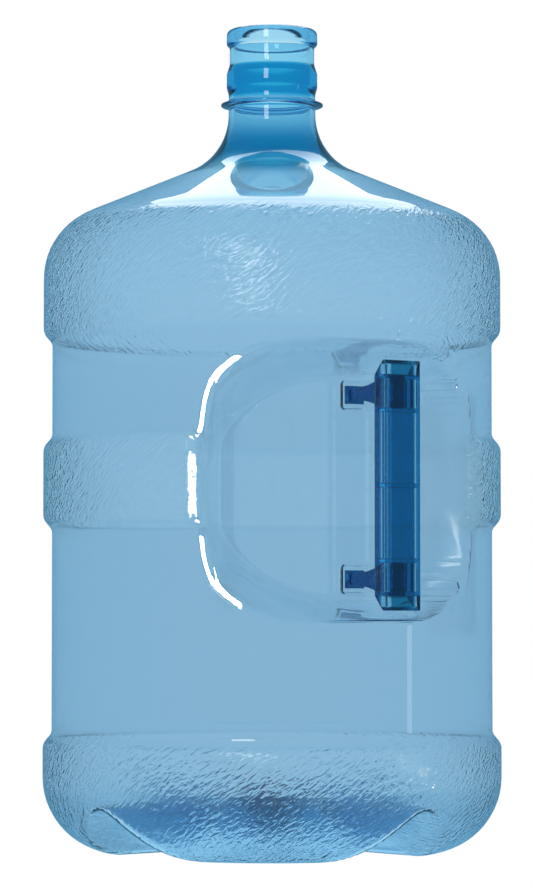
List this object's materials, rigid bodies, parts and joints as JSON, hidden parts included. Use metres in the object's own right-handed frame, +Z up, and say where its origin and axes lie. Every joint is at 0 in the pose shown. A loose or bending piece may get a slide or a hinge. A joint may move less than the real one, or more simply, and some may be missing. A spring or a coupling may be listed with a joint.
{
  "type": "large water jug",
  "caption": "Blown clear blue PET cooler jug with a crown-finish neck, domed shoulder, belted wall, ribbed carry handle set in a side recess and lobed push-up base",
  "frame": {"origin": "centre of the base, on the plane that the feet stand on", "axes": "+Z up along the jug's axis, -Y towards the front, +X to the right seen from the front; the handle stands out 38 degrees from the front towards +X"},
  "size_m": [0.273, 0.273, 0.4915],
  "materials": {
    "clear_pet": "clear blue PET, glossy waists and neck, hammered texture on the shoulder, belts and feet",
    "handle_pet": "clear deep blue PET, glossy, moulded ribs"
  },
  "bodies": {
    "root": {"bottle": "clear_pet", "handle": "handle_pet"}
  },
  "joints": []
}
